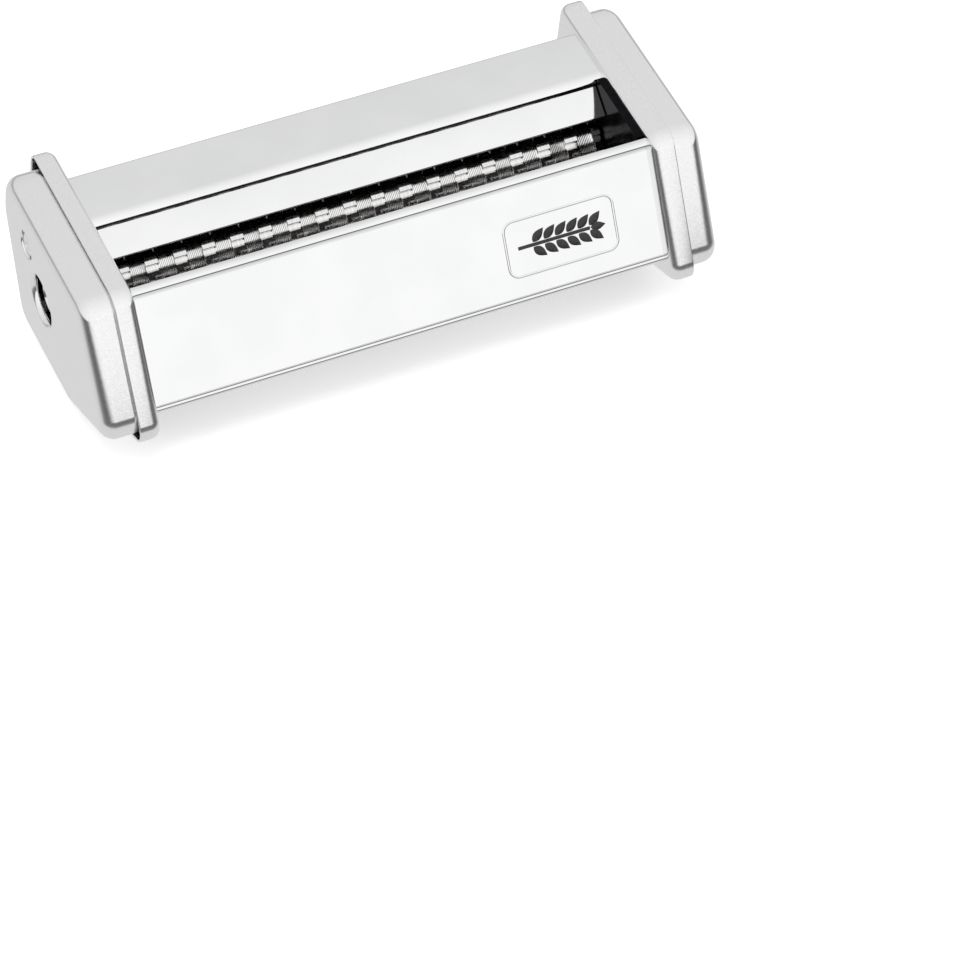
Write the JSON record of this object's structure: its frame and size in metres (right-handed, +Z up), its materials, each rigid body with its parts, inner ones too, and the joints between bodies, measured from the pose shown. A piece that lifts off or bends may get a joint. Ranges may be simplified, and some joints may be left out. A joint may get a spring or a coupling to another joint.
{
  "type": "pasta noodle cutter attachment",
  "caption": "Hand-cranked noodle cutter head: two geared, interleaving ringed rollers between polished side trays, with slanted front panel and feed guide.",
  "frame": {"origin": "centre of the bounding box in X and Y, at the bottom edges of the side trays", "axes": "+X along the rollers away from the crank side, +Y to the back, +Z up"},
  "size_m": [0.1878, 0.0842, 0.0541],
  "materials": {
    "left_side_tray": "polished steel sheet",
    "right_side_tray": "polished steel sheet",
    "left_end_cap": "polished steel sheet",
    "right_end_cap": "polished steel sheet",
    "left_bearing_plate": "glossy black moulding",
    "right_bearing_plate": "glossy black moulding",
    "driven_bushing_left": "natural nylon",
    "driven_bushing_right": "natural nylon",
    "idler_bushing_left": "natural nylon",
    "idler_bushing_right": "natural nylon",
    "driven_roller": "turned and fluted, bright plated",
    "idler_roller": "turned and fluted, bright plated",
    "crank_cross_pin": "plated steel",
    "driven_gear": "cut steel gear",
    "idler_gear": "cut steel gear",
    "driven_gear_clip": "spring steel, oiled black",
    "idler_gear_clip": "spring steel, oiled black",
    "idler_stub_clip": "spring steel, oiled black",
    "front_panel": "polished steel sheet",
    "maker_badge": "dark enamel",
    "rear_cover": "polished steel sheet",
    "front_tie_rod": "plated steel",
    "rear_tie_rod": "plated steel",
    "top_tie_rod": "plated steel",
    "tie_rod_nuts": "plated steel",
    "front_comb": "sheet steel",
    "rear_comb": "sheet steel",
    "left_cap_post": "plated steel",
    "right_cap_post": "plated steel",
    "left_cap_screw": "plated steel",
    "right_cap_screw": "plated steel",
    "left_mount_hook": "plated steel",
    "right_mount_hook": "plated steel"
  },
  "bodies": {
    "frame": {"left_side_tray": "left_side_tray", "right_side_tray": "right_side_tray", "left_end_cap": "left_end_cap", "right_end_cap": "right_end_cap", "left_bearing_plate": "left_bearing_plate", "right_bearing_plate": "right_bearing_plate", "driven_bushing_left": "driven_bushing_left", "driven_bushing_right": "driven_bushing_right", "idler_bushing_left": "idler_bushing_left", "idler_bushing_right": "idler_bushing_right", "front_panel": "front_panel", "maker_badge": "maker_badge", "rear_cover": "rear_cover", "front_tie_rod": "front_tie_rod", "rear_tie_rod": "rear_tie_rod", "top_tie_rod": "top_tie_rod", "tie_rod_nuts": "tie_rod_nuts", "front_comb": "front_comb", "rear_comb": "rear_comb", "left_cap_post": "left_cap_post", "right_cap_post": "right_cap_post", "left_cap_screw": "left_cap_screw", "right_cap_screw": "right_cap_screw", "left_mount_hook": "left_mount_hook", "right_mount_hook": "right_mount_hook"},
    "driven_shaft": {"driven_roller": "driven_roller", "crank_cross_pin": "crank_cross_pin", "driven_gear": "driven_gear", "driven_gear_clip": "driven_gear_clip"},
    "idler_shaft": {"idler_roller": "idler_roller", "idler_gear": "idler_gear", "idler_gear_clip": "idler_gear_clip", "idler_stub_clip": "idler_stub_clip"}
  },
  "joints": [
    {"name": "driven_spin", "type": "hinge", "parent": "frame", "child": "driven_shaft", "pos_m": [0, 0.00984, 0.0258], "axis": [1, 0, 0], "continuous": true},
    {"name": "idler_spin", "type": "hinge", "parent": "frame", "child": "idler_shaft", "pos_m": [0, -0.01095, 0.02507], "axis": [1, 0, 0], "continuous": true}
  ],
  "couplings": [
    {"joint": "idler_spin", "follows": "driven_spin", "ratio": -1}
  ]
}
